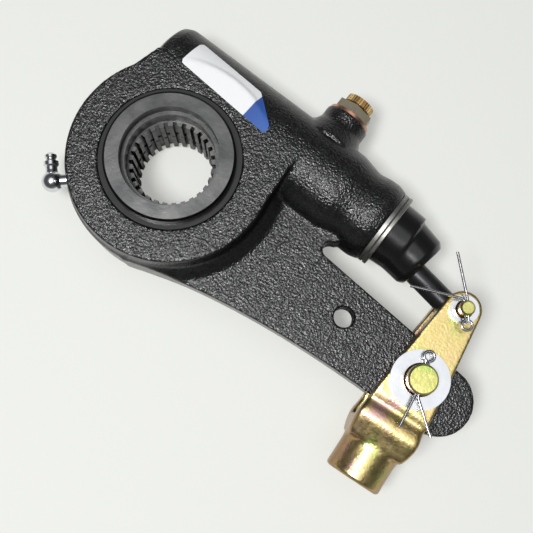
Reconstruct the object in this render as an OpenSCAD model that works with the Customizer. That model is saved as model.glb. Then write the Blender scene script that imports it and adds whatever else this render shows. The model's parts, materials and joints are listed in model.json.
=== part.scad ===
// Brake slack adjuster: splined worm gear in a cast arm, worm drive, actuator rod, clevis and pull pawl.
// Millimetres, +Z up. The origin is on the gear axis at mid-height; +X runs to the large clevis pin.

/* [Gear] */
// radius of the gear's outer ring
gear_r = 28.1; // [26:0.1:29]
// height of the gear
gear_h = 50; // [44:0.5:60]
// radius of the recess in the gear's upper end
recess_r = 21.3; // [20:0.1:24]
// depth of that recess
recess_depth = 6.5; // [2:0.5:9]
// radius to the tips of the internal splines
spline_minor_r = 17.15; // [16:0.05:18]
// radius to the bottom of the internal splines
spline_major_r = 18.9; // [18.4:0.05:19.4]
// number of internal splines
spline_count = 28; // [20:1:36]
// number of worm teeth on the gear
gear_teeth = 20; // [16:1:24]
// depth of the worm teeth
tooth_depth = 5.2; // [4:0.1:5.6]

/* [Housing] */
// radius of the hub at its faces
hub_r = 44.6; // [42:0.2:50]
// height of the hub between its faces
hub_h = 41; // [36:0.5:43]
// radius of the worm tunnel's outside
tunnel_out_r = 20.3; // [19:0.1:22]
// radius of the worm's core
worm_root_r = 7.5; // [7:0.1:8.5]
// turn of the worm axis from the arm line
worm_tilt = 4.2; // [2:0.2:6]
// thickness of the arm
arm_t = 14; // [10:0.5:16]
// distance from the gear axis to the large clevis pin
arm_len = 139.7; // [136:0.1:146]
// radius of the arm's end
arm_end_r = 15.2; // [14:0.1:17]
// radius of the plain hole in the arm
arm_hole_r = 4.5; // [3:0.1:6]

/* [Pawl] */
// place of the pawl along the worm axis
pawl_s = 47.5; // [46:0.5:49]
// radius of the pawl boss
boss_r = 10.7; // [10:0.1:12]
// distance from the worm axis to the boss face
boss_d = 29.6; // [28:0.2:33]
// width of the cap screw's hexagon across its flats
hex_af = 16; // [14:0.5:18]
// radius of the pull knob
knob_r = 6.7; // [5:0.1:8]

/* [Actuator] */
// place of the roller pin along the worm axis
roller_s = 64; // [63.5:0.1:64.5]
// radius of the roller pin
roller_r = 3; // [2.5:0.1:3.4]
// radius of the actuator rod
rod_r = 5.3; // [4.6:0.1:5.6]
// largest radius of the boot
boot_r = 15.2; // [14.6:0.1:15.6]

/* [Clevis] */
// turn of the clevis from square to the arm
clevis_tilt = 8.4; // [7:0.2:10]
// distance between the two clevis pins
pin_gap = 35; // [33:0.5:37]
// radius of the large clevis pin
large_pin_r = 6.35; // [5.5:0.05:7]
// radius of the small clevis pin
small_pin_r = 3.175; // [2.6:0.025:3.6]
// half of the clevis's width over its legs
leg_out = 16.5; // [15:0.1:18]
// radius of the hole that is threaded for the push rod
thread_r = 7.25; // [6:0.05:8]
// radius of the clevis's boss
clevis_boss_r = 12.8; // [12:0.1:14]

/* [Fits] */
// radial clearance of a running fit
run_gap = 0.05; // [0.02:0.01:0.1]
// clearance between parts that never touch
free_gap = 0.4; // [0.3:0.05:0.6]

/* [Hidden] */
$fn = 96;
// gear and worm
gear_root_r = gear_r - tooth_depth;
pitch_r = gear_r - tooth_depth / 2;
lead = 2 * PI * pitch_r / gear_teeth;
worm_dist = gear_r + worm_root_r + free_gap;
worm_tip_r = worm_dist - gear_root_r - free_gap;
tooth_zone = 10.2;
thread_half = 16;
tunnel_r = worm_tip_r + free_gap;
seal_w = 2.5;
seal_h = 2.4;
hub_draft = 1.6;
// places along the worm axis
tunnel_start = -26;
end_wall = -36;
journal_r = 8;
washer_t = 1.5;
bushing_s = thread_half + 2;
bushing_l = 7;
worm_seal_l = 1.8;
sleeve_s = pawl_s - 16.5;
sleeve_end = roller_s - 10;
piston_s = sleeve_end + free_gap;
piston_end = roller_s + 8;
ring_s = 86.2;
ring_t = 1.2;
mouth = 88.5;
clamp_l = 4;
// worm shank and actuator sleeve
shank_r = 5.2;
key_w = 2.4;
key_h = 1.2;
shank_end = sleeve_end - 5.6;
sleeve_r = 10.6;
sleeve_tooth = 0.9;
// pawl
pawl_r = 5.6;
pawl_tip_d = sleeve_r + free_gap;
pawl_shoulder_d = 16.6;
cap_in_d = 21.6;
cap_r = 7.2;
gasket_t = 1.2;
hex_h = 4.5;
stem_r = 2.2;
knob_gap = 1.3;
knob_h = 3.2;
spring_wire_r = 0.5;
piston_back = 3.3;
piston_nose_end = pawl_s + pawl_r + piston_back + free_gap;
// pins, clevis and rod
slot_half = arm_t / 2 + 0.5;
slot_depth = 25;
clevis_end = 49.6;
large_pin_top = 25.9;
small_pin_top = 25;
washer_large_r = 12.6;
washer_small_r = 6.2;
washer_large_t = 1.9;
washer_small_t = 1.6;
washer_gap = 0.7;
cotter_z = 21.4;
cotter_wire_r = 0.75;
cotter_hole_r = 1.7;
bushing_wall = 2.1;
rod_eye_r = 7;
rod_eye_half = slot_half - 1;
roller_eye_half = 5;
roller_gap = 0.8;
small_pin = [arm_len - pin_gap * sin(clevis_tilt), pin_gap * cos(clevis_tilt)];
roller = [roller_s * cos(worm_tilt) - worm_dist * sin(worm_tilt),
          roller_s * sin(worm_tilt) + worm_dist * cos(worm_tilt)];
rod_l = norm(small_pin - roller);
rod_turn = atan2(small_pin[1] - roller[1], small_pin[0] - roller[0]);
// grease fitting
fitting_turn = 227.5;
fitting_r = 3;
fitting_at = hub_r + 9.4;
fitting_tip = 13;
check_ball_r = 1;
// colours
paint_black = [0.06, 0.06, 0.065];
steel_dark = [0.26, 0.26, 0.27];
steel = [0.62, 0.63, 0.65];
zinc_yellow = [0.72, 0.6, 0.25];
rubber = [0.03, 0.03, 0.03];

// Frames: the worm axis, places along it, the pawl axis, the clevis, the rod and the grease fitting.
module worm_frame() rotate([0, 0, worm_tilt]) translate([0, worm_dist, 0]) children();
module along_s(s) worm_frame() translate([s, 0, 0]) rotate([0, 90, 0]) children();
module along_d(d) worm_frame() translate([pawl_s, d, 0]) rotate([-90, 0, 0]) children();
module clevis_frame() translate([arm_len, 0, 0]) rotate([0, 0, clevis_tilt]) children();
module rod_frame() translate([small_pin[0], small_pin[1], 0]) rotate([0, 0, rod_turn]) children();
module fitting_frame() rotate([0, 0, fitting_turn]) translate([fitting_at, 0, 0]) children();

// A ring or plain tube that stands on z = 0.
module tube(out_r, in_r, h) {
    difference() {
        cylinder(r = out_r, h = h);
        translate([0, 0, -1]) cylinder(r = in_r, h = h + 2);
    }
}

// Points of a curve that leaves p0 toward p1 and reaches p2 from there.
function bend(p0, p1, p2, n) =
    [for (i = [0:n]) let (t = i / n) (1 - t) * (1 - t) * p0 + 2 * t * (1 - t) * p1 + t * t * p2];

// Housing
module arm_outline() {
    end_x = arm_len + 12.8;
    slot_x = 76;
    slot_y = arm_end_r + 3.2;
    low = bend([12, -45.2], [64, -21.5], [end_x, -arm_end_r], 12);
    difference() {
        union() {
            polygon(concat([[0, 0]], low, [[end_x, arm_end_r], [slot_x, arm_end_r - 0.4],
                [slot_x, worm_dist], [0, worm_dist]]));
            translate([end_x, 0]) circle(r = arm_end_r);
            circle(r = hub_r + hub_draft);
        }
        translate([slot_x, slot_y]) circle(r = 3.6);
        translate([slot_x, slot_y - 3.6]) square([20, 26]);
    }
}

module arm_solid() {
    linear_extrude(arm_t, center = true) arm_outline();
    fillet = 5;
    for (side = [0, 1]) mirror([0, 0, side]) intersection() {
        translate([0, 0, -1]) linear_extrude(arm_t / 2 + fillet + 1) arm_outline();
        translate([0, 0, arm_t / 2]) cylinder(r1 = hub_r + hub_draft + fillet, r2 = hub_r, h = fillet);
    }
}

module hub_solid() {
    for (side = [0, 1]) mirror([0, 0, side]) cylinder(r1 = hub_r + hub_draft, r2 = hub_r, h = hub_h / 2);
    rotate([0, 0, worm_tilt]) linear_extrude(hub_h, center = true)
        polygon([[-hub_r + 0.4, 2], [end_wall + 1.5, worm_dist], [42, worm_dist], [hub_r - 0.4, 2]]);
}

module tunnel_solid() {
    along_s(0) rotate_extrude() polygon([[0, end_wall], [tunnel_out_r - 6, end_wall],
        [tunnel_out_r - 1.5, end_wall + 2], [tunnel_out_r, end_wall + 5.5], [tunnel_out_r, 65], [tunnel_out_r - 2.2, 74],
        [tunnel_out_r - 1.2, 80], [tunnel_out_r - 1.2, 84], [tunnel_out_r - 2.5, mouth], [0, mouth]]);
}

module boss_solid() {
    along_d(0) cylinder(r = boss_r, h = boss_d);
    along_d(tunnel_out_r - 5) cylinder(r1 = boss_r + 5, r2 = boss_r, h = 8.5);
}

module housing_bores() {
    cylinder(r = gear_r + run_gap, h = hub_h + 10, center = true);
    for (side = [0, 1]) mirror([0, 0, side])
        translate([0, 0, hub_h / 2 - seal_h]) cylinder(r = gear_r + seal_w, h = seal_h + 5);
    along_s(tunnel_start) cylinder(r = tunnel_r, h = mouth - tunnel_start + 1);
    along_s(end_wall - 1) cylinder(r = journal_r + run_gap, h = tunnel_start - end_wall + 2);
    along_s(ring_s) cylinder(r = tunnel_r + 1.2, h = ring_t);
    along_d(0) cylinder(r = pawl_r + run_gap, h = boss_d + 1);
    along_d(cap_in_d) cylinder(r = cap_r + run_gap, h = boss_d);
    translate([arm_len, 0, -arm_t]) cylinder(r = large_pin_r + bushing_wall, h = 2 * arm_t);
    translate([99.4, 0.2, -arm_t]) cylinder(r = arm_hole_r, h = 2 * arm_t);
    fitting_frame() rotate([0, -90, 0]) cylinder(r = fitting_r + run_gap, h = 30);
}

module housing() {
    color(paint_black) difference() {
        union() {
            hub_solid();
            arm_solid();
            tunnel_solid();
            boss_solid();
        }
        housing_bores();
    }
}

// Rings, bushings and seals that stay in the housing
module arm_bushing() {
    color(steel) translate([arm_len, 0, -arm_t / 2])
        tube(large_pin_r + bushing_wall, large_pin_r + run_gap, arm_t);
}

module gear_seal() {
    translate([0, 0, hub_h / 2 - seal_h]) tube(gear_r + seal_w, gear_r + run_gap, seal_h - 0.4);
}

module upper_gear_seal() color(rubber) gear_seal();

module lower_gear_seal() color(rubber) mirror([0, 0, 1]) gear_seal();

module worm_thrust_washer() {
    color(steel) along_s(tunnel_start) tube(tunnel_r, journal_r + free_gap, washer_t);
}

module worm_bushing() {
    color(steel) along_s(bushing_s) tube(tunnel_r, worm_root_r + run_gap, bushing_l);
}

module worm_seal() {
    color(rubber) along_s(bushing_s + bushing_l) tube(tunnel_r, shank_r + key_h + free_gap, worm_seal_l);
}

module piston_retaining_ring() {
    color(steel) along_s(ring_s) difference() {
        tube(tunnel_r + 1.2, tunnel_r - 1.6, ring_t);
        translate([0, 0, ring_t / 2]) rotate([0, 0, 90])
            translate([tunnel_r, 0, 0]) cube([8, 6, 4], center = true);
    }
}

module boot_clamp_ring() {
    color(steel) along_s(mouth) rotate_extrude() polygon([[boot_r, 0], [17.6, 0], [17.6, 1.6],
        [16.9, 2], [17.6, 2.4], [17.6, clamp_l - 0.3], [17.3, clamp_l], [boot_r, clamp_l]]);
}

// Boot: a sleeve on the tunnel's mouth, and a cap that leans to the rod
module boot_cap(r, long) {
    worm_frame() translate([100, -0.9, 0]) rotate([0, 0, -10]) rotate([0, 90, 0]) {
        cylinder(r1 = r, r2 = r - 0.7, h = long - 2.5);
        translate([0, 0, long - 2.5]) cylinder(r1 = r - 0.7, r2 = r - 2.6, h = 2.5);
    }
}

module boot() {
    step_s = 102;
    wall = 1.9;
    color(rubber) difference() {
        union() {
            along_s(mouth) cylinder(r1 = boot_r, r2 = boot_r - 0.9, h = step_s - mouth);
            boot_cap(13.6, 13.4);
        }
        along_s(mouth - 1) cylinder(r = boot_r - 0.9 - wall, h = step_s - mouth - 1.6);
        boot_cap(13.6 - wall, 11.4);
        rod_frame() translate([-45, 0, 0]) rotate([0, 90, 0]) cylinder(r = rod_r + free_gap, h = 44);
    }
}

// Grease fitting: an elbow on a stem, with its check ball in the tip
module grease_fitting() {
    elbow_r = 4.8;
    color(steel) fitting_frame() difference() {
        union() {
            rotate([0, -90, 0]) cylinder(r = fitting_r, h = 20);
            sphere(r = elbow_r);
            rotate([90, 0, 0]) rotate_extrude() polygon([[0, 0], [3.4, 0], [2.6, 5.2], [2.6, 6.6], [3.3, 7.4],
                [3.3, 9], [2.2, 9.7], [2.2, 10.4], [2.7, 11], [2.7, 12], [1.6, fitting_tip], [0, fitting_tip]]);
        }
        rotate([90, 0, 0]) cylinder(r = check_ball_r, h = fitting_tip + 1);
        rotate([0, -90, 0]) cylinder(r = 1.2, h = 30);
    }
}

module grease_check_ball() {
    color(steel) fitting_frame() translate([0, -fitting_tip + check_ball_r, 0]) sphere(r = check_ball_r);
}

// Pawl cap screw, gasket, pawl, knob and spring
module pawl_cap_screw() {
    color(steel) difference() {
        union() {
            along_d(cap_in_d) cylinder(r = cap_r, h = boss_d + gasket_t + 1 - cap_in_d);
            along_d(boss_d + gasket_t) rotate([0, 0, 30]) cylinder(d = hex_af / cos(30), h = hex_h, $fn = 6);
        }
        along_d(cap_in_d - 1) cylinder(r = stem_r + free_gap, h = 20);
    }
}

module pawl_gasket() {
    color([0.72, 0.4, 0.26]) along_d(boss_d) tube(boss_r - 0.7, cap_r, gasket_t);
}

module pawl() {
    flat = pawl_r - 1.8;
    color(steel) {
        difference() {
            along_d(pawl_tip_d) cylinder(r = pawl_r, h = pawl_shoulder_d - pawl_tip_d);
            for (side = [-1, 1]) along_d(pawl_tip_d) translate([0, side * (flat + 5), 0])
                cube([30, 10, 5], center = true);
        }
        along_d(pawl_shoulder_d - 1) cylinder(r = stem_r, h = boss_d + gasket_t + hex_h + knob_gap - pawl_shoulder_d + 2);
    }
}

module pawl_knob() {
    knurls = 36;
    color([0.78, 0.62, 0.3]) along_d(boss_d + gasket_t + hex_h + knob_gap) difference() {
        cylinder(r = knob_r, h = knob_h);
        translate([0, 0, -1]) cylinder(r = stem_r, h = 2);
        for (i = [0:knurls - 1]) rotate([0, 0, i * 360 / knurls])
            translate([knob_r + 0.1, 0, -1]) rotate([0, 0, 45]) cube([0.6, 0.6, 2 * knob_h + 2], center = true);
    }
}

module pawl_spring() {
    coils = 4;
    color(steel) for (i = [0:coils - 1])
        along_d(pawl_shoulder_d + spring_wire_r + i * (cap_in_d - pawl_shoulder_d - 2 * spring_wire_r) / (coils - 1))
            rotate_extrude($fn = 32) translate([3.9, 0]) circle(r = spring_wire_r, $fn = 16);
    color(steel) along_d(pawl_shoulder_d + spring_wire_r) translate([3.9, 0, 0])
        cylinder(r = 0.8 * spring_wire_r, h = cap_in_d - pawl_shoulder_d - 2 * spring_wire_r, $fn = 16);
}

// Gear
module spline_cut() {
    open_in = 3.7;
    open_out = 2.6;
    circle(r = spline_minor_r);
    for (i = [0:spline_count - 1]) rotate(i * 360 / spline_count) polygon([
        [spline_minor_r - 1, -(spline_minor_r - 1) * tan(open_in)], [spline_major_r, -spline_major_r * tan(open_out)],
        [spline_major_r, spline_major_r * tan(open_out)], [spline_minor_r - 1, (spline_minor_r - 1) * tan(open_in)]]);
}

module tooth_gap() {
    low = 0.255 * lead;
    high = 0.39 * lead;
    translate([0, 0, -tooth_zone]) linear_extrude(2 * tooth_zone) polygon([[gear_root_r, -low],
        [gear_r + 1, -high], [gear_r + 1, high], [gear_root_r, low]]);
}

module worm_gear() {
    step_r = spline_major_r + 0.7;
    step_z = 10.3;
    groove_z = -8;
    groove_h = 2.5;
    edge = 1;
    color(steel_dark) difference() {
        rotate_extrude() polygon([[0, -gear_h / 2], [gear_r - edge, -gear_h / 2], [gear_r, -gear_h / 2 + edge],
            [gear_r, gear_h / 2 - edge], [gear_r - edge, gear_h / 2], [0, gear_h / 2]]);
        translate([0, 0, -gear_h]) linear_extrude(2 * gear_h) spline_cut();
        translate([0, 0, step_z]) cylinder(r = step_r, h = gear_h);
        translate([0, 0, groove_z]) cylinder(r = step_r, h = groove_h);
        translate([0, 0, gear_h / 2 - recess_depth]) cylinder(r = recess_r, h = gear_h);
        translate([0, 0, -gear_h / 2 - 1]) cylinder(r = step_r, h = 3.5);
        for (i = [0:gear_teeth - 1]) rotate([0, 0, 90 + worm_tilt + i * 360 / gear_teeth]) tooth_gap();
    }
}

// Worm with its thread, hexagon end and splined shank
module thread_outline() {
    crest = 38;
    foot = 66;
    core_r = worm_root_r - 0.3;
    polygon(concat(
        [for (a = [-crest:crest / 2:crest]) worm_tip_r * [cos(a), sin(a)]],
        [for (i = [0:14]) let (a = foot + i * (360 - 2 * foot) / 14) core_r * [cos(a), sin(a)]]));
}

module shank_outline(extra) {
    circle(r = shank_r + extra);
    for (i = [0:5]) rotate(i * 60) translate([0, -key_w / 2 - extra])
        square([shank_r + key_h + extra, key_w + 2 * extra]);
}

module worm() {
    turns = 2 * thread_half / lead;
    start = tunnel_start + washer_t + free_gap;
    color(steel) {
        along_s(-thread_half) rotate([0, 0, -90 - 180 * turns])
            linear_extrude(2 * thread_half, twist = -360 * turns, slices = round(20 * turns), $fn = 12)
                thread_outline();
        along_s(start) cylinder(r = worm_root_r + 2.2, h = -thread_half - start + 0.1);
        along_s(end_wall + 5) cylinder(r = journal_r, h = start - end_wall - 4.9);
        along_s(end_wall + 0.8) cylinder(d = 10.5, h = 5, $fn = 6);
        along_s(thread_half - 0.1) cylinder(r = worm_root_r, h = bushing_s + bushing_l - thread_half - 0.4);
        along_s(bushing_s + bushing_l - 1) linear_extrude(shank_end - bushing_s - bushing_l + 1) shank_outline(0);
    }
}

// Actuator sleeve, piston, roller pin and rod
module sleeve_outline() {
    teeth = 24;
    polygon([for (i = [0:teeth - 1], k = [0:2]) let (a = (i + [0, 0.25, 0.75][k]) * 360 / teeth)
        (k == 0 ? sleeve_r - sleeve_tooth : sleeve_r) * [cos(a), sin(a)]]);
}

module actuator_sleeve() {
    color(steel) difference() {
        along_s(sleeve_s) linear_extrude(sleeve_end - sleeve_s, twist = 24, slices = 8) sleeve_outline();
        along_s(sleeve_s - 1) linear_extrude(sleeve_end - sleeve_s - 0.5) shank_outline(0.15);
    }
}

module actuator_piston() {
    room = rod_eye_r + 0.8;
    color(steel) difference() {
        union() {
            along_s(piston_s) cylinder(r = pawl_tip_d - 2 * free_gap, h = 8);
            along_s(piston_nose_end) cylinder(r = tunnel_r - run_gap, h = piston_end - piston_nose_end);
        }
        worm_frame() translate([piston_end - (piston_end - roller_s + room) / 2 + 1, -1, 0])
            cube([piston_end - roller_s + room + 2, 2 * room + 2, 2 * roller_eye_half + 2 * free_gap], center = true);
        worm_frame() translate([roller_s, 0, 0]) cylinder(r = roller_r + run_gap, h = 40, center = true);
        worm_frame() translate([roller_s + 8, -3, 0]) rotate([0, 90, 0]) cylinder(r = rod_r + 2, h = 12, center = true);
    }
}

module roller_pin() {
    color(steel) worm_frame() translate([roller_s, 0, 0])
        cylinder(r = roller_r, h = 2 * sqrt(pow(tunnel_r - 1, 2) - pow(roller_r, 2)), center = true);
}

module actuator_rod() {
    color(paint_black) rod_frame() difference() {
        union() {
            translate([-rod_l, 0, 0]) rotate([0, 90, 0]) cylinder(r = rod_r, h = rod_l);
            cylinder(r = rod_eye_r, h = 2 * rod_eye_half, center = true);
            translate([-rod_l, 0, 0]) cylinder(r = rod_eye_r - 0.5, h = 2 * roller_eye_half, center = true);
        }
        cylinder(r = small_pin_r + run_gap, h = 40, center = true);
        translate([-rod_l, 0, 0]) cylinder(r = roller_r + roller_gap, h = 40, center = true);
        for (side = [-1, 1]) translate([-rod_l, 0, side * (roller_eye_half + 5)])
            cube([2 * rod_eye_r + 2, 30, 10], center = true);
    }
}

// Clevis: legs and forged shoulder as two crossed outlines, then the threaded boss
module clevis_front() {
    tip_r = 8;
    polygon(concat([[-tip_r, pin_gap + 0.6], [-12.1, 0], [-13.8, -19]], bend([-14.6, -24], [-14.6, -29], [-clevis_boss_r, -34], 4),
        bend([clevis_boss_r, -34], [14.6, -29], [14.6, -24], 4), [[13.8, -19], [12.1, 0], [tip_r, pin_gap + 0.6]]));
    translate([0, pin_gap]) circle(r = tip_r);
}

module clevis_side() {
    polygon(concat([[-leg_out, pin_gap + 12], [-leg_out, -15]],
        bend([-leg_out + 0.4, -19], [-leg_out + 0.4, -27], [-clevis_boss_r + 0.6, -34.2], 4),
        bend([clevis_boss_r - 0.6, -34.2], [leg_out - 0.4, -27], [leg_out - 0.4, -19], 4),
        [[leg_out, -15], [leg_out, pin_gap + 12]]));
}

module clevis() {
    color(zinc_yellow) clevis_frame() difference() {
        union() {
            intersection() {
                linear_extrude(80, center = true) clevis_front();
                rotate([0, 90, 0]) linear_extrude(80, center = true) clevis_side();
            }
            translate([0, -33, 0]) rotate([90, 0, 0]) cylinder(r = clevis_boss_r, h = clevis_end - 34);
            translate([0, -clevis_end + 1, 0]) rotate([90, 0, 0])
                cylinder(r1 = clevis_boss_r, r2 = clevis_boss_r - 1, h = 1);
        }
        translate([-40, -slot_depth, -slot_half]) cube([80, 100, 2 * slot_half]);
        cylinder(r = large_pin_r + run_gap, h = 80, center = true);
        translate([0, pin_gap, 0]) cylinder(r = small_pin_r + run_gap, h = 80, center = true);
        translate([0, -slot_depth + 2, 0]) rotate([90, 0, 0]) cylinder(r = thread_r, h = 40);
    }
}

// Pins, washers and cotter pins of the clevis
module clevis_pin(r, top, head_r, head_h, cotter_turn) {
    difference() {
        union() {
            translate([0, 0, -leg_out - head_h]) cylinder(r = head_r, h = head_h);
            translate([0, 0, -leg_out - head_h / 2]) cylinder(r = r, h = top - 0.8 + leg_out + head_h / 2);
            translate([0, 0, top - 0.8]) cylinder(r1 = r, r2 = r - 0.8, h = 0.8);
        }
        translate([0, 0, cotter_z]) rotate([0, 0, cotter_turn]) rotate([0, 90, 0])
            cylinder(r = cotter_hole_r, h = 40, center = true);
    }
}

module wire(long) {
    rotate([0, 90, 0]) cylinder(r = cotter_wire_r, h = long, $fn = 12);
    translate([long, 0, 0]) cylinder(r = cotter_wire_r - 0.02, h = 1.2 * cotter_wire_r, center = true, $fn = 12);
}

// A cotter pin that lies along +X, its eye on the -X side, with two legs bent to their own turns.
module cotter(eye_x, exit_x, turns, longs) {
    eye_r = 2.1;
    side_y = cotter_wire_r + 0.05;
    translate([eye_x - eye_r, 0, 0]) rotate_extrude($fn = 32)
        translate([eye_r, 0]) circle(r = cotter_wire_r + 0.05, $fn = 24);
    for (k = [0, 1]) {
        y = (k == 0 ? -1 : 1) * side_y;
        translate([eye_x - 0.4, y, 0]) wire(exit_x - eye_x + 0.4);
        translate([exit_x, y, 0]) rotate([0, 0, turns[k]]) wire(longs[k]);
    }
}

large_cotter_turn = -68;
small_cotter_turn = 132;

module large_clevis_pin() {
    color(zinc_yellow) translate([arm_len, 0, 0]) clevis_pin(large_pin_r, large_pin_top, 9, 4, large_cotter_turn);
}

module large_pin_washer() {
    color(steel) translate([arm_len, 0, leg_out]) tube(washer_large_r, large_pin_r + washer_gap, washer_large_t);
}

module large_cotter_pin() {
    color(steel) translate([arm_len, 0, cotter_z]) rotate([0, 0, large_cotter_turn])
        cotter(-large_pin_r - 1.2, large_pin_r + 0.8, [-8, 36], [14, 17]);
}

module small_clevis_pin() {
    color(zinc_yellow) translate([small_pin[0], small_pin[1], 0])
        clevis_pin(small_pin_r, small_pin_top, 5, 3, small_cotter_turn);
}

module small_pin_washer() {
    color(steel) translate([small_pin[0], small_pin[1], leg_out])
        tube(washer_small_r, small_pin_r + washer_gap, washer_small_t);
}

module small_cotter_pin() {
    color(steel) translate([small_pin[0], small_pin[1], cotter_z]) rotate([0, 0, small_cotter_turn])
        cotter(-small_pin_r - 1.2, small_pin_r + 0.8, [10, 76], [20, 23]);
}

housing();
arm_bushing();
upper_gear_seal();
lower_gear_seal();
worm_thrust_washer();
worm_bushing();
worm_seal();
piston_retaining_ring();
boot_clamp_ring();
boot();
grease_fitting();
grease_check_ball();
pawl_cap_screw();
pawl_gasket();
worm_gear();
worm();
actuator_sleeve();
actuator_piston();
roller_pin();
actuator_rod();
clevis();
large_clevis_pin();
large_pin_washer();
large_cotter_pin();
small_clevis_pin();
small_pin_washer();
small_cotter_pin();
pawl();
pawl_knob();
pawl_spring();
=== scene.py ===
"""Looks of the brake slack adjuster: cast and forged skins, finishes, sticker, floor, light and camera."""

import json
import math

import bmesh
import bpy
from mathutils import Matrix, Vector
from mathutils.bvhtree import BVHTree


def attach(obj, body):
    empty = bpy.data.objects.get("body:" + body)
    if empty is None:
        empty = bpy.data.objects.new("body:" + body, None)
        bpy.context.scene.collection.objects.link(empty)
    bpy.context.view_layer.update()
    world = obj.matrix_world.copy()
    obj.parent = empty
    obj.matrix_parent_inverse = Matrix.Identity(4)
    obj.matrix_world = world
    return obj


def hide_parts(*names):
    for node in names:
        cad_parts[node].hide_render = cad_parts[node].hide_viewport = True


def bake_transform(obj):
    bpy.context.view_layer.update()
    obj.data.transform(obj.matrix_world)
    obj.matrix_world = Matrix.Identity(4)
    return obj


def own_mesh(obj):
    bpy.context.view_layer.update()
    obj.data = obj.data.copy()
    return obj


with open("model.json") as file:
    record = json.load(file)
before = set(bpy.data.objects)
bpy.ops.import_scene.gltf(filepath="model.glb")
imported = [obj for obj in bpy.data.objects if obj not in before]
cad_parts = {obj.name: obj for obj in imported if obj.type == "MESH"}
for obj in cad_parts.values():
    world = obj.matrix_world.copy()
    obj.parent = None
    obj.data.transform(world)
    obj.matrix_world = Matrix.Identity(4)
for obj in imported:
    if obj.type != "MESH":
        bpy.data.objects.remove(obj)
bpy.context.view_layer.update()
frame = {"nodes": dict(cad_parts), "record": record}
nodes = frame["nodes"]

MM = 0.001
ARM_LEN = 139.7 * MM
CLEVIS_TILT = math.radians(8.4)
PIN_GAP = 35 * MM
FLOOR_Z = -25 * MM
EDGE = 0.18 * MM
CAMERA_AT = Vector((92.98, -51.71, 397.20)) * MM


# Materials

def node_tree(name):
    """A new material with its tree and its shader."""
    mat = bpy.data.materials.new(name)
    mat.use_nodes = True
    tree = mat.node_tree
    return mat, tree, tree.nodes["Principled BSDF"]


def add(tree, kind, **values):
    """A node of that kind with its inputs set by name."""
    made = tree.nodes.new(kind)
    for key, value in values.items():
        made.inputs[key.replace("_", " ")].default_value = value
    return made


def place(tree):
    """The row frame's coordinates as a texture space."""
    return add(tree, "ShaderNodeTexCoord").outputs["Object"]


def noise(tree, scale, detail=4.0, rough=0.55):
    made = add(tree, "ShaderNodeTexNoise", Scale=scale, Detail=detail, Roughness=rough)
    tree.links.new(place(tree), made.inputs["Vector"])
    return made.outputs["Fac"]


def ramp(tree, source, stops):
    """A colour ramp over source, given as (place, colour) pairs."""
    made = add(tree, "ShaderNodeValToRGB")
    tree.links.new(source, made.inputs["Fac"])
    band = made.color_ramp.elements
    while len(band) < len(stops):
        band.new(0.5)
    for stop, (at, colour) in zip(band, stops):
        stop.position = at
        stop.color = (*colour, 1)
    return made.outputs["Color"]


def spread(tree, source, low, high):
    """source from 0..1 to low..high."""
    made = add(tree, "ShaderNodeMapRange", From_Min=0.3, From_Max=0.7, To_Min=low, To_Max=high)
    tree.links.new(source, made.inputs["Value"])
    return made.outputs["Result"]


def bump(tree, shader, source, depth, strength=None):
    """Relief from source, as deep as depth, and weaker where strength says so."""
    made = add(tree, "ShaderNodeBump", Strength=1.0, Distance=depth)
    tree.links.new(source, made.inputs["Height"])
    if strength:
        tree.links.new(strength, made.inputs["Strength"])
    tree.links.new(made.outputs["Normal"], shader.inputs["Normal"])


def facing_up(tree, low, high, wall=0.75, level_at=0.98):
    """low on walls, high on level faces, from the piece's own normals."""
    split = add(tree, "ShaderNodeSeparateXYZ")
    tree.links.new(add(tree, "ShaderNodeTexCoord").outputs["Normal"], split.inputs[0])
    level = add(tree, "ShaderNodeMath")
    level.operation = "ABSOLUTE"
    tree.links.new(split.outputs["Z"], level.inputs[0])
    made = add(tree, "ShaderNodeMapRange", From_Min=wall, From_Max=level_at, To_Min=low, To_Max=high)
    tree.links.new(level.outputs[0], made.inputs["Value"])
    return made.outputs["Result"]


def cast_black():
    """Black paint over a pebbled casting: fine pebbles on level faces, smoother on the round walls; the
    paint is darker in the pebbles' low points as painted shade in their hollows.
    """
    mat, tree, shader = node_tree("cast_black")
    pebbles = spread(tree, noise(tree, 1100, 1.0, 0.5), 0.0, 1.0)
    # The base colour follows the pebble height: the darker low points are painted shade in the pebbles'
    # hollows.
    tree.links.new(ramp(tree, pebbles, [(0.0, (0.002, 0.002, 0.0022)), (1.0, (0.0075, 0.008, 0.0085))]),
                   shader.inputs["Base Color"])
    tree.links.new(spread(tree, noise(tree, 300), 0.22, 0.36), shader.inputs["Roughness"])
    shader.inputs["Specular IOR Level"].default_value = 0.7
    grain = add(tree, "ShaderNodeMath")
    grain.operation = "MULTIPLY_ADD"
    grain.inputs[1].default_value = 0.35
    tree.links.new(noise(tree, 2400, 1.0, 0.5), grain.inputs[0])
    tree.links.new(pebbles, grain.inputs[2])
    bump(tree, shader, grain.outputs[0], 0.00021, facing_up(tree, 0.4, 1.0))
    return mat


def metal(name, colour, rough, grain=0.00003, scale=700, vary=0.15, metallic=1.0):
    """Bare or plated metal with a slightly uneven colour and polish."""
    mat, tree, shader = node_tree(name)
    dark = tuple(c * (1 - vary) for c in colour)
    light = tuple(min(1.0, c * (1 + vary)) for c in colour)
    tree.links.new(ramp(tree, noise(tree, 120), [(0.3, dark), (0.7, light)]), shader.inputs["Base Color"])
    tree.links.new(spread(tree, noise(tree, 260), rough * 0.85, rough * 1.2), shader.inputs["Roughness"])
    shader.inputs["Metallic"].default_value = metallic
    bump(tree, shader, noise(tree, scale), grain)
    return mat


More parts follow.
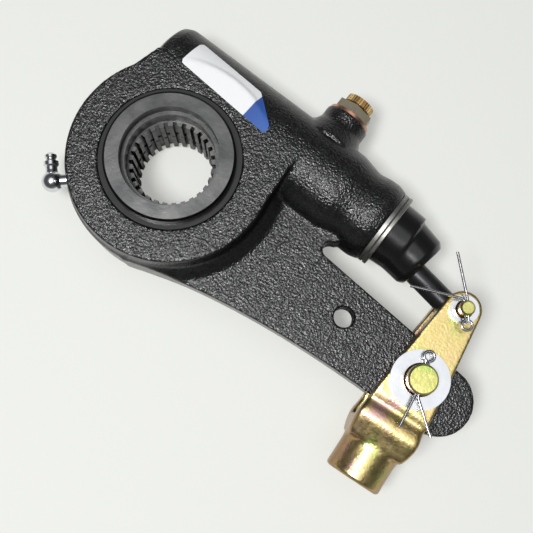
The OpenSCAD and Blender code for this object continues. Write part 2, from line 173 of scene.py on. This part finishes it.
def gear_steel():
    """Dark steel whose machined end faces are painted lighter than its walls: painted light on the level
    faces, painted shade on the walls.
    """
    mat, tree, shader = node_tree("dark_steel")
    lit_face_tone = ramp(tree, noise(tree, 90, 5.0), [(0.3, (0.07, 0.073, 0.074)), (0.7, (0.15, 0.15, 0.145))])
    # The mask comes from the normals. Walls are near black and level faces are lighter: painted shade on
    # the walls, painted light on the end faces.
    mix = add(tree, "ShaderNodeMixRGB", Color1=(0.008, 0.008, 0.009, 1))
    tree.links.new(facing_up(tree, 0.0, 1.0), mix.inputs["Fac"])
    tree.links.new(lit_face_tone, mix.inputs["Color2"])
    tree.links.new(mix.outputs[0], shader.inputs["Base Color"])
    tree.links.new(spread(tree, noise(tree, 260), 0.32, 0.45), shader.inputs["Roughness"])
    shader.inputs["Metallic"].default_value = 0.85
    bump(tree, shader, noise(tree, 700), 0.00006)
    return mat


def yellow_zinc(name, stops):
    """Yellow zinc whose film follows stops from green to gold or pink, and is painted browner on the slopes
    as shade.
    """
    mat, tree, shader = node_tree(name)
    # Brown on walls and slopes, chosen by the normals: painted shade on the sides that turn away from the
    # light.
    mix = add(tree, "ShaderNodeMixRGB", Color1=(0.34, 0.21, 0.10, 1))
    tree.links.new(facing_up(tree, 0.0, 1.0, 0.45, 0.95), mix.inputs["Fac"])
    tree.links.new(ramp(tree, noise(tree, 70, 4.0), stops), mix.inputs["Color2"])
    tree.links.new(mix.outputs[0], shader.inputs["Base Color"])
    tree.links.new(spread(tree, noise(tree, 400), 0.24, 0.36), shader.inputs["Roughness"])
    shader.inputs["Metallic"].default_value = 1.0
    bump(tree, shader, noise(tree, 900, 3.0), 0.00011)
    return mat


def rubber():
    mat, tree, shader = node_tree("black_rubber")
    shader.inputs["Base Color"].default_value = (0.008, 0.008, 0.008, 1)
    tree.links.new(spread(tree, noise(tree, 200), 0.14, 0.24), shader.inputs["Roughness"])
    bump(tree, shader, noise(tree, 900), 0.00001)
    return mat


def sticker():
    """White paper with a plain blue end, divided along the worm axis."""
    mat, tree, shader = node_tree("sticker")
    split = add(tree, "ShaderNodeSeparateXYZ")
    tree.links.new(add(tree, "ShaderNodeUVMap").outputs["UV"], split.inputs[0])
    tree.links.new(ramp(tree, split.outputs["X"], [(0.0, (0.86, 0.87, 0.88)), (0.745, (0.86, 0.87, 0.88)),
                                                   (0.75, (0.03, 0.09, 0.36)), (1.0, (0.04, 0.13, 0.45))]),
                   shader.inputs["Base Color"])
    shader.inputs["Roughness"].default_value = 0.35
    return mat


def floor_white():
    """A pale floor that the camera sees a little lighter than its shadows would leave it."""
    mat, tree, shader = node_tree("floor_white")
    shader.inputs["Base Color"].default_value = (0.83, 0.84, 0.80, 1)
    shader.inputs["Roughness"].default_value = 0.7
    shader.inputs["Specular IOR Level"].default_value = 0.1
    glow = add(tree, "ShaderNodeEmission", Color=(0.84, 0.85, 0.81, 1), Strength=1.0)
    path = add(tree, "ShaderNodeLightPath")
    share = add(tree, "ShaderNodeMath")
    share.operation = "MULTIPLY"
    share.inputs[1].default_value = 0.4
    tree.links.new(path.outputs["Is Camera Ray"], share.inputs[0])
    mix = add(tree, "ShaderNodeMixShader")
    tree.links.new(share.outputs[0], mix.inputs["Fac"])
    tree.links.new(shader.outputs[0], mix.inputs[1])
    tree.links.new(glow.outputs[0], mix.inputs[2])
    tree.links.new(mix.outputs[0], tree.nodes["Material Output"].inputs["Surface"])
    return mat


MATS = {
    "cast_black": cast_black(),
    "dark_steel": gear_steel(),
    "bushing_steel": metal("bushing_steel", (0.42, 0.42, 0.43), 0.35),
    "bright_steel": metal("bright_steel", (0.72, 0.73, 0.75), 0.18, vary=0.05),
    "plain_steel": metal("plain_steel", (0.45, 0.45, 0.47), 0.32),
    "ring_grey": metal("ring_grey", (0.36, 0.355, 0.335), 0.45),
    "black_rubber": rubber(),
    "rod_black": metal("rod_black", (0.02, 0.02, 0.022), 0.35, metallic=0.4),
    "yellow_zinc": yellow_zinc("yellow_zinc", [(0.34, (0.52, 0.62, 0.20)), (0.44, (0.76, 0.62, 0.25)),
                                               (0.56, (0.80, 0.61, 0.29)), (0.64, (0.78, 0.48, 0.40))]),
    "pin_zinc": yellow_zinc("pin_zinc", [(0.34, (0.42, 0.60, 0.16)), (0.50, (0.62, 0.62, 0.20)),
                                         (0.66, (0.74, 0.66, 0.28))]),
    "wire_steel": metal("wire_steel", (0.34, 0.34, 0.35), 0.24, vary=0.06),
    "cap_steel": metal("cap_steel", (0.44, 0.39, 0.28), 0.45, metallic=0.7),
    "bright_zinc": metal("bright_zinc", (0.74, 0.75, 0.77), 0.22, vary=0.06),
    "brass": metal("brass", (0.74, 0.52, 0.24), 0.28),
    "copper": metal("copper", (0.66, 0.34, 0.24), 0.32),
    "sticker": sticker(),
    "floor": floor_white(),
}
SLOTS = {part["node"]: part["material_slot"] for part in frame["record"]["subparts"]}
OWN_LOOK = {"large_clevis_pin": "pin_zinc", "small_clevis_pin": "pin_zinc", "pawl_cap_screw": "cap_steel"}


# Pieces

def show(obj, mat):
    obj.data.materials.clear()
    obj.data.materials.append(MATS[mat])


def skin(node, voxel, rounds, body):
    """A rounded copy of a CAD node: remeshed, then relaxed so that its edges flow as a casting's do."""
    source = nodes[node]
    mesh = source.data.copy()
    mesh.name = node + "_skin"
    mesh.transform(source.matrix_world)
    piece = bpy.data.objects.new(node + "_skin", mesh)
    bpy.context.collection.objects.link(piece)
    grid = piece.modifiers.new("grid", "REMESH")
    grid.mode = "VOXEL"
    grid.voxel_size = voxel
    grid.use_smooth_shade = True
    relax = piece.modifiers.new("relax", "SMOOTH")
    relax.factor = 0.5
    relax.iterations = rounds
    piece.data.materials.clear()
    piece.data.materials.append(MATS[SLOTS[node]])
    if body:
        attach(piece, body)
    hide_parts(node)
    return piece


def label(under):
    """The sticker, laid on the housing from above: a white field, then a blue end that narrows."""
    bpy.context.view_layer.update()
    tree = BVHTree.FromObject(under, bpy.context.evaluated_depsgraph_get())
    columns, rows = 60, 18
    x0, x1, x2 = -25.5 * MM, 8.6 * MM, 22.6 * MM
    y0, y1, y2 = 34.4 * MM, 48.2 * MM, 38.0 * MM
    corner = 1.6 * MM
    above, lift = 60 * MM, 0.5 * MM
    shape = bmesh.new()
    lay = shape.loops.layers.uv.new("UVMap")
    grid = []
    for i in range(columns + 1):
        x = x0 + (x2 - x0) * i / columns
        inset = max(0.0, corner - (x - x0), corner - (x2 - x))
        round_off = corner - math.sqrt(max(0.0, corner ** 2 - inset ** 2))
        top = y1 if x < x1 else y1 + (y2 - y1) * (x - x1) / (x2 - x1)
        for j in range(rows + 1):
            y = y0 + round_off + (top - y0 - 2 * round_off) * j / rows
            hit = tree.ray_cast(Vector((x, y, above)), Vector((0, 0, -1)))[0]
            grid.append(shape.verts.new(hit + Vector((0, 0, lift))))
    for i in range(columns):
        for j in range(rows):
            ids = [(i, j), (i + 1, j), (i + 1, j + 1), (i, j + 1)]
            face = shape.faces.new([grid[a * (rows + 1) + b] for a, b in ids])
            face.smooth = True
            for loop, (a, b) in zip(face.loops, ids):
                loop[lay].uv = (a / columns, b / rows)
    mesh = bpy.data.meshes.new("label")
    shape.to_mesh(mesh)
    shape.free()
    piece = bpy.data.objects.new("label", mesh)
    bpy.context.collection.objects.link(piece)
    show(piece, "sticker")
    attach(piece, "housing")
    return piece


def cotter(node, pin, turn, eye_x, exit_x, bends, lengths):
    """A cotter pin of bent wire through a clevis pin: one leg, the eye and the other leg as one curve."""
    wire, eye_r, side = 0.62 * MM, 2.15 * MM, 0.66 * MM
    eye_back, bend = 1.9 * MM, 0.8 * MM
    z = 21.4 * MM
    path = []
    ends = []
    for sign, bend_deg, long in zip((-1, 1), bends, lengths):
        angle = math.radians(bend_deg)
        way = Vector((math.cos(angle), math.sin(angle), 0))
        hole = Vector((exit_x, sign * side, 0))
        ends.append([hole + long * way, hole + bend * way,
                     Vector((exit_x - bend, sign * side, 0)), Vector((eye_x, sign * side, 0))])
    path += ends[0]
    for k in range(1, 16):
        angle = math.radians(-20 - k * 20)
        path.append(Vector((eye_x - eye_back + eye_r * math.cos(angle), eye_r * math.sin(angle), 0)))
    path += reversed(ends[1])
    data = bpy.data.curves.new(node + "_wire", "CURVE")
    data.dimensions = "3D"
    data.bevel_depth = wire
    data.bevel_resolution = 5
    data.use_fill_caps = True
    line = data.splines.new("POLY")
    line.points.add(len(path) - 1)
    place_at = Matrix.Translation(Vector((pin[0], pin[1], z))) @ Matrix.Rotation(math.radians(turn), 4, "Z")
    for point, spot in zip(line.points, path):
        point.co = (*(place_at @ spot), 1)
    line.use_smooth = True
    piece = bpy.data.objects.new(node + "_wire", data)
    bpy.context.collection.objects.link(piece)
    data.materials.append(MATS["wire_steel"])
    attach(piece, "clevis")
    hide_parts(node)


def bake(piece):
    """Puts the piece's modifiers into its mesh."""
    bpy.context.view_layer.update()
    graph = bpy.context.evaluated_depsgraph_get()
    mesh = bpy.data.meshes.new_from_object(piece.evaluated_get(graph))
    piece.modifiers.clear()
    old = piece.data
    piece.data = mesh
    bpy.data.meshes.remove(old)
    mesh.polygons.foreach_set("use_smooth", [True] * len(mesh.polygons))


def forge(piece, rounds):
    """Relaxes the clevis's shoulder and swells it as a forging's, in the clevis's own frame."""
    bake(piece)
    mesh = piece.data
    to_clevis = (Matrix.Translation((ARM_LEN, 0, 0)) @ Matrix.Rotation(CLEVIS_TILT, 4, "Z")).inverted()
    shape = bmesh.new()
    shape.from_mesh(mesh)
    shape.transform(to_clevis)
    soft = [v for v in shape.verts if -46 * MM < v.co.y < -16 * MM and v.co.xy.length > 9 * MM
            and (abs(v.co.z) > 9 * MM or abs(v.co.x) > 9 * MM)]
    every_way = {"use_axis_x": True, "use_axis_y": True, "use_axis_z": True}
    for _ in range(rounds):
        bmesh.ops.smooth_vert(shape, verts=soft, factor=0.5, **every_way)
    dip_at, dip_long, dip_deep = -16.5 * MM, 2.6 * MM, 1.1 * MM
    swell_at, swell_long, swell_high = -24 * MM, 4.0 * MM, 0.9 * MM
    for v in shape.verts:
        dip = dip_deep * math.exp(-((v.co.y - dip_at) / dip_long) ** 2)
        swell = swell_high * math.exp(-((v.co.y - swell_at) / swell_long) ** 2)
        if abs(v.co.z) > 10 * MM:
            v.co.z += math.copysign(1, v.co.z) * (swell - dip)
    shape.transform(to_clevis.inverted())
    shape.to_mesh(mesh)
    shape.free()


def spring(node):
    """The pawl's spring: a copy of its CAD mesh, carried by the housing."""
    mesh = nodes[node].data.copy()
    mesh.transform(nodes[node].matrix_world)
    piece = bpy.data.objects.new(node + "_wire", mesh)
    bpy.context.collection.objects.link(piece)
    show(piece, SLOTS[node])
    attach(piece, "housing")
    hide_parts(node)
    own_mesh(piece)


def dress_cad():
    """Finishes and softened edges for the CAD nodes that are shown as they are."""
    for name, obj in nodes.items():
        show(obj, OWN_LOOK.get(name, SLOTS[name]))
        edge = obj.modifiers.new("edge", "BEVEL")
        edge.width = EDGE
        edge.segments = 2
        edge.limit_method = "ANGLE"
        edge.angle_limit = math.radians(35)


# Studio

def studio():
    mesh = bpy.data.meshes.new("floor")
    size = 3.0
    corners = [(-size, -size), (size, -size), (size, size), (-size, size)]
    mesh.from_pydata([(x, y, FLOOR_Z) for x, y in corners], [], [(0, 1, 2, 3)])
    ground = bpy.data.objects.new("floor", mesh)
    bpy.context.collection.objects.link(ground)
    show(ground, "floor")
    sky()
    lamp("key", (0.0, -0.24, 0.86), (0.05, 0.0, 0), 0.2, 6.5)


def sky():
    """Soft light from above that falls off toward the horizon."""
    world = bpy.data.worlds.new("studio")
    bpy.context.scene.world = world
    world.use_nodes = True
    tree = world.node_tree
    split = add(tree, "ShaderNodeSeparateXYZ")
    tree.links.new(add(tree, "ShaderNodeTexCoord").outputs["Generated"], split.inputs[0])
    light = ramp(tree, split.outputs["Z"], [(0.0, (0.2, 0.2, 0.2)), (0.5, (0.05, 0.05, 0.053)),
                                            (0.86, (0.12, 0.12, 0.125)), (0.94, (1.1, 1.12, 1.14))])
    tree.links.new(light, tree.nodes["Background"].inputs["Color"])
    tree.nodes["Background"].inputs["Strength"].default_value = 1.0


def lamp(name, spot, aim, size, power):
    data = bpy.data.lights.new(name, "AREA")
    data.shape = "SQUARE"
    data.size = size
    data.energy = power
    obj = bpy.data.objects.new(name, data)
    obj.location = spot
    obj.rotation_euler = (Vector(aim) - Vector(spot)).to_track_quat("-Z", "Y").to_euler()
    bpy.context.collection.objects.link(obj)


def camera():
    """The photo's viewpoint: its right, up and back directions in the row frame."""
    right = Vector((0.74639, 0.66533, 0.01539))
    up = Vector((-0.66024, 0.73739, 0.1426))
    back = Vector((0.08353, -0.1166, 0.98966))
    data = bpy.data.cameras.new("camera")
    data.sensor_width = 36
    data.lens = 61.78
    obj = bpy.data.objects.new("camera", data)
    turn = Matrix((right, up, back)).transposed().to_4x4()
    obj.matrix_world = Matrix.Translation(CAMERA_AT) @ turn
    bpy.context.collection.objects.link(obj)
    bpy.context.scene.camera = obj


dress_cad()
housing = skin("housing", 0.0007, 7, "housing")
clevis = skin("clevis", 0.0006, 6, "clevis")
forge(clevis, 24)
boot = skin("boot", 0.0005, 8, None)
bake(boot)
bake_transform(boot)
small_pin = (ARM_LEN - PIN_GAP * math.sin(CLEVIS_TILT), PIN_GAP * math.cos(CLEVIS_TILT))
cotter("large_cotter_pin", (ARM_LEN, 0), -68, -8.2 * MM, 7.2 * MM, (-8, 36), (14 * MM, 17 * MM))
cotter("small_cotter_pin", small_pin, 132, -5 * MM, 4 * MM, (10, 76), (20 * MM, 23 * MM))
spring("pawl_spring")
label(housing)
studio()
camera()
bpy.context.scene.view_settings.view_transform = "Standard"
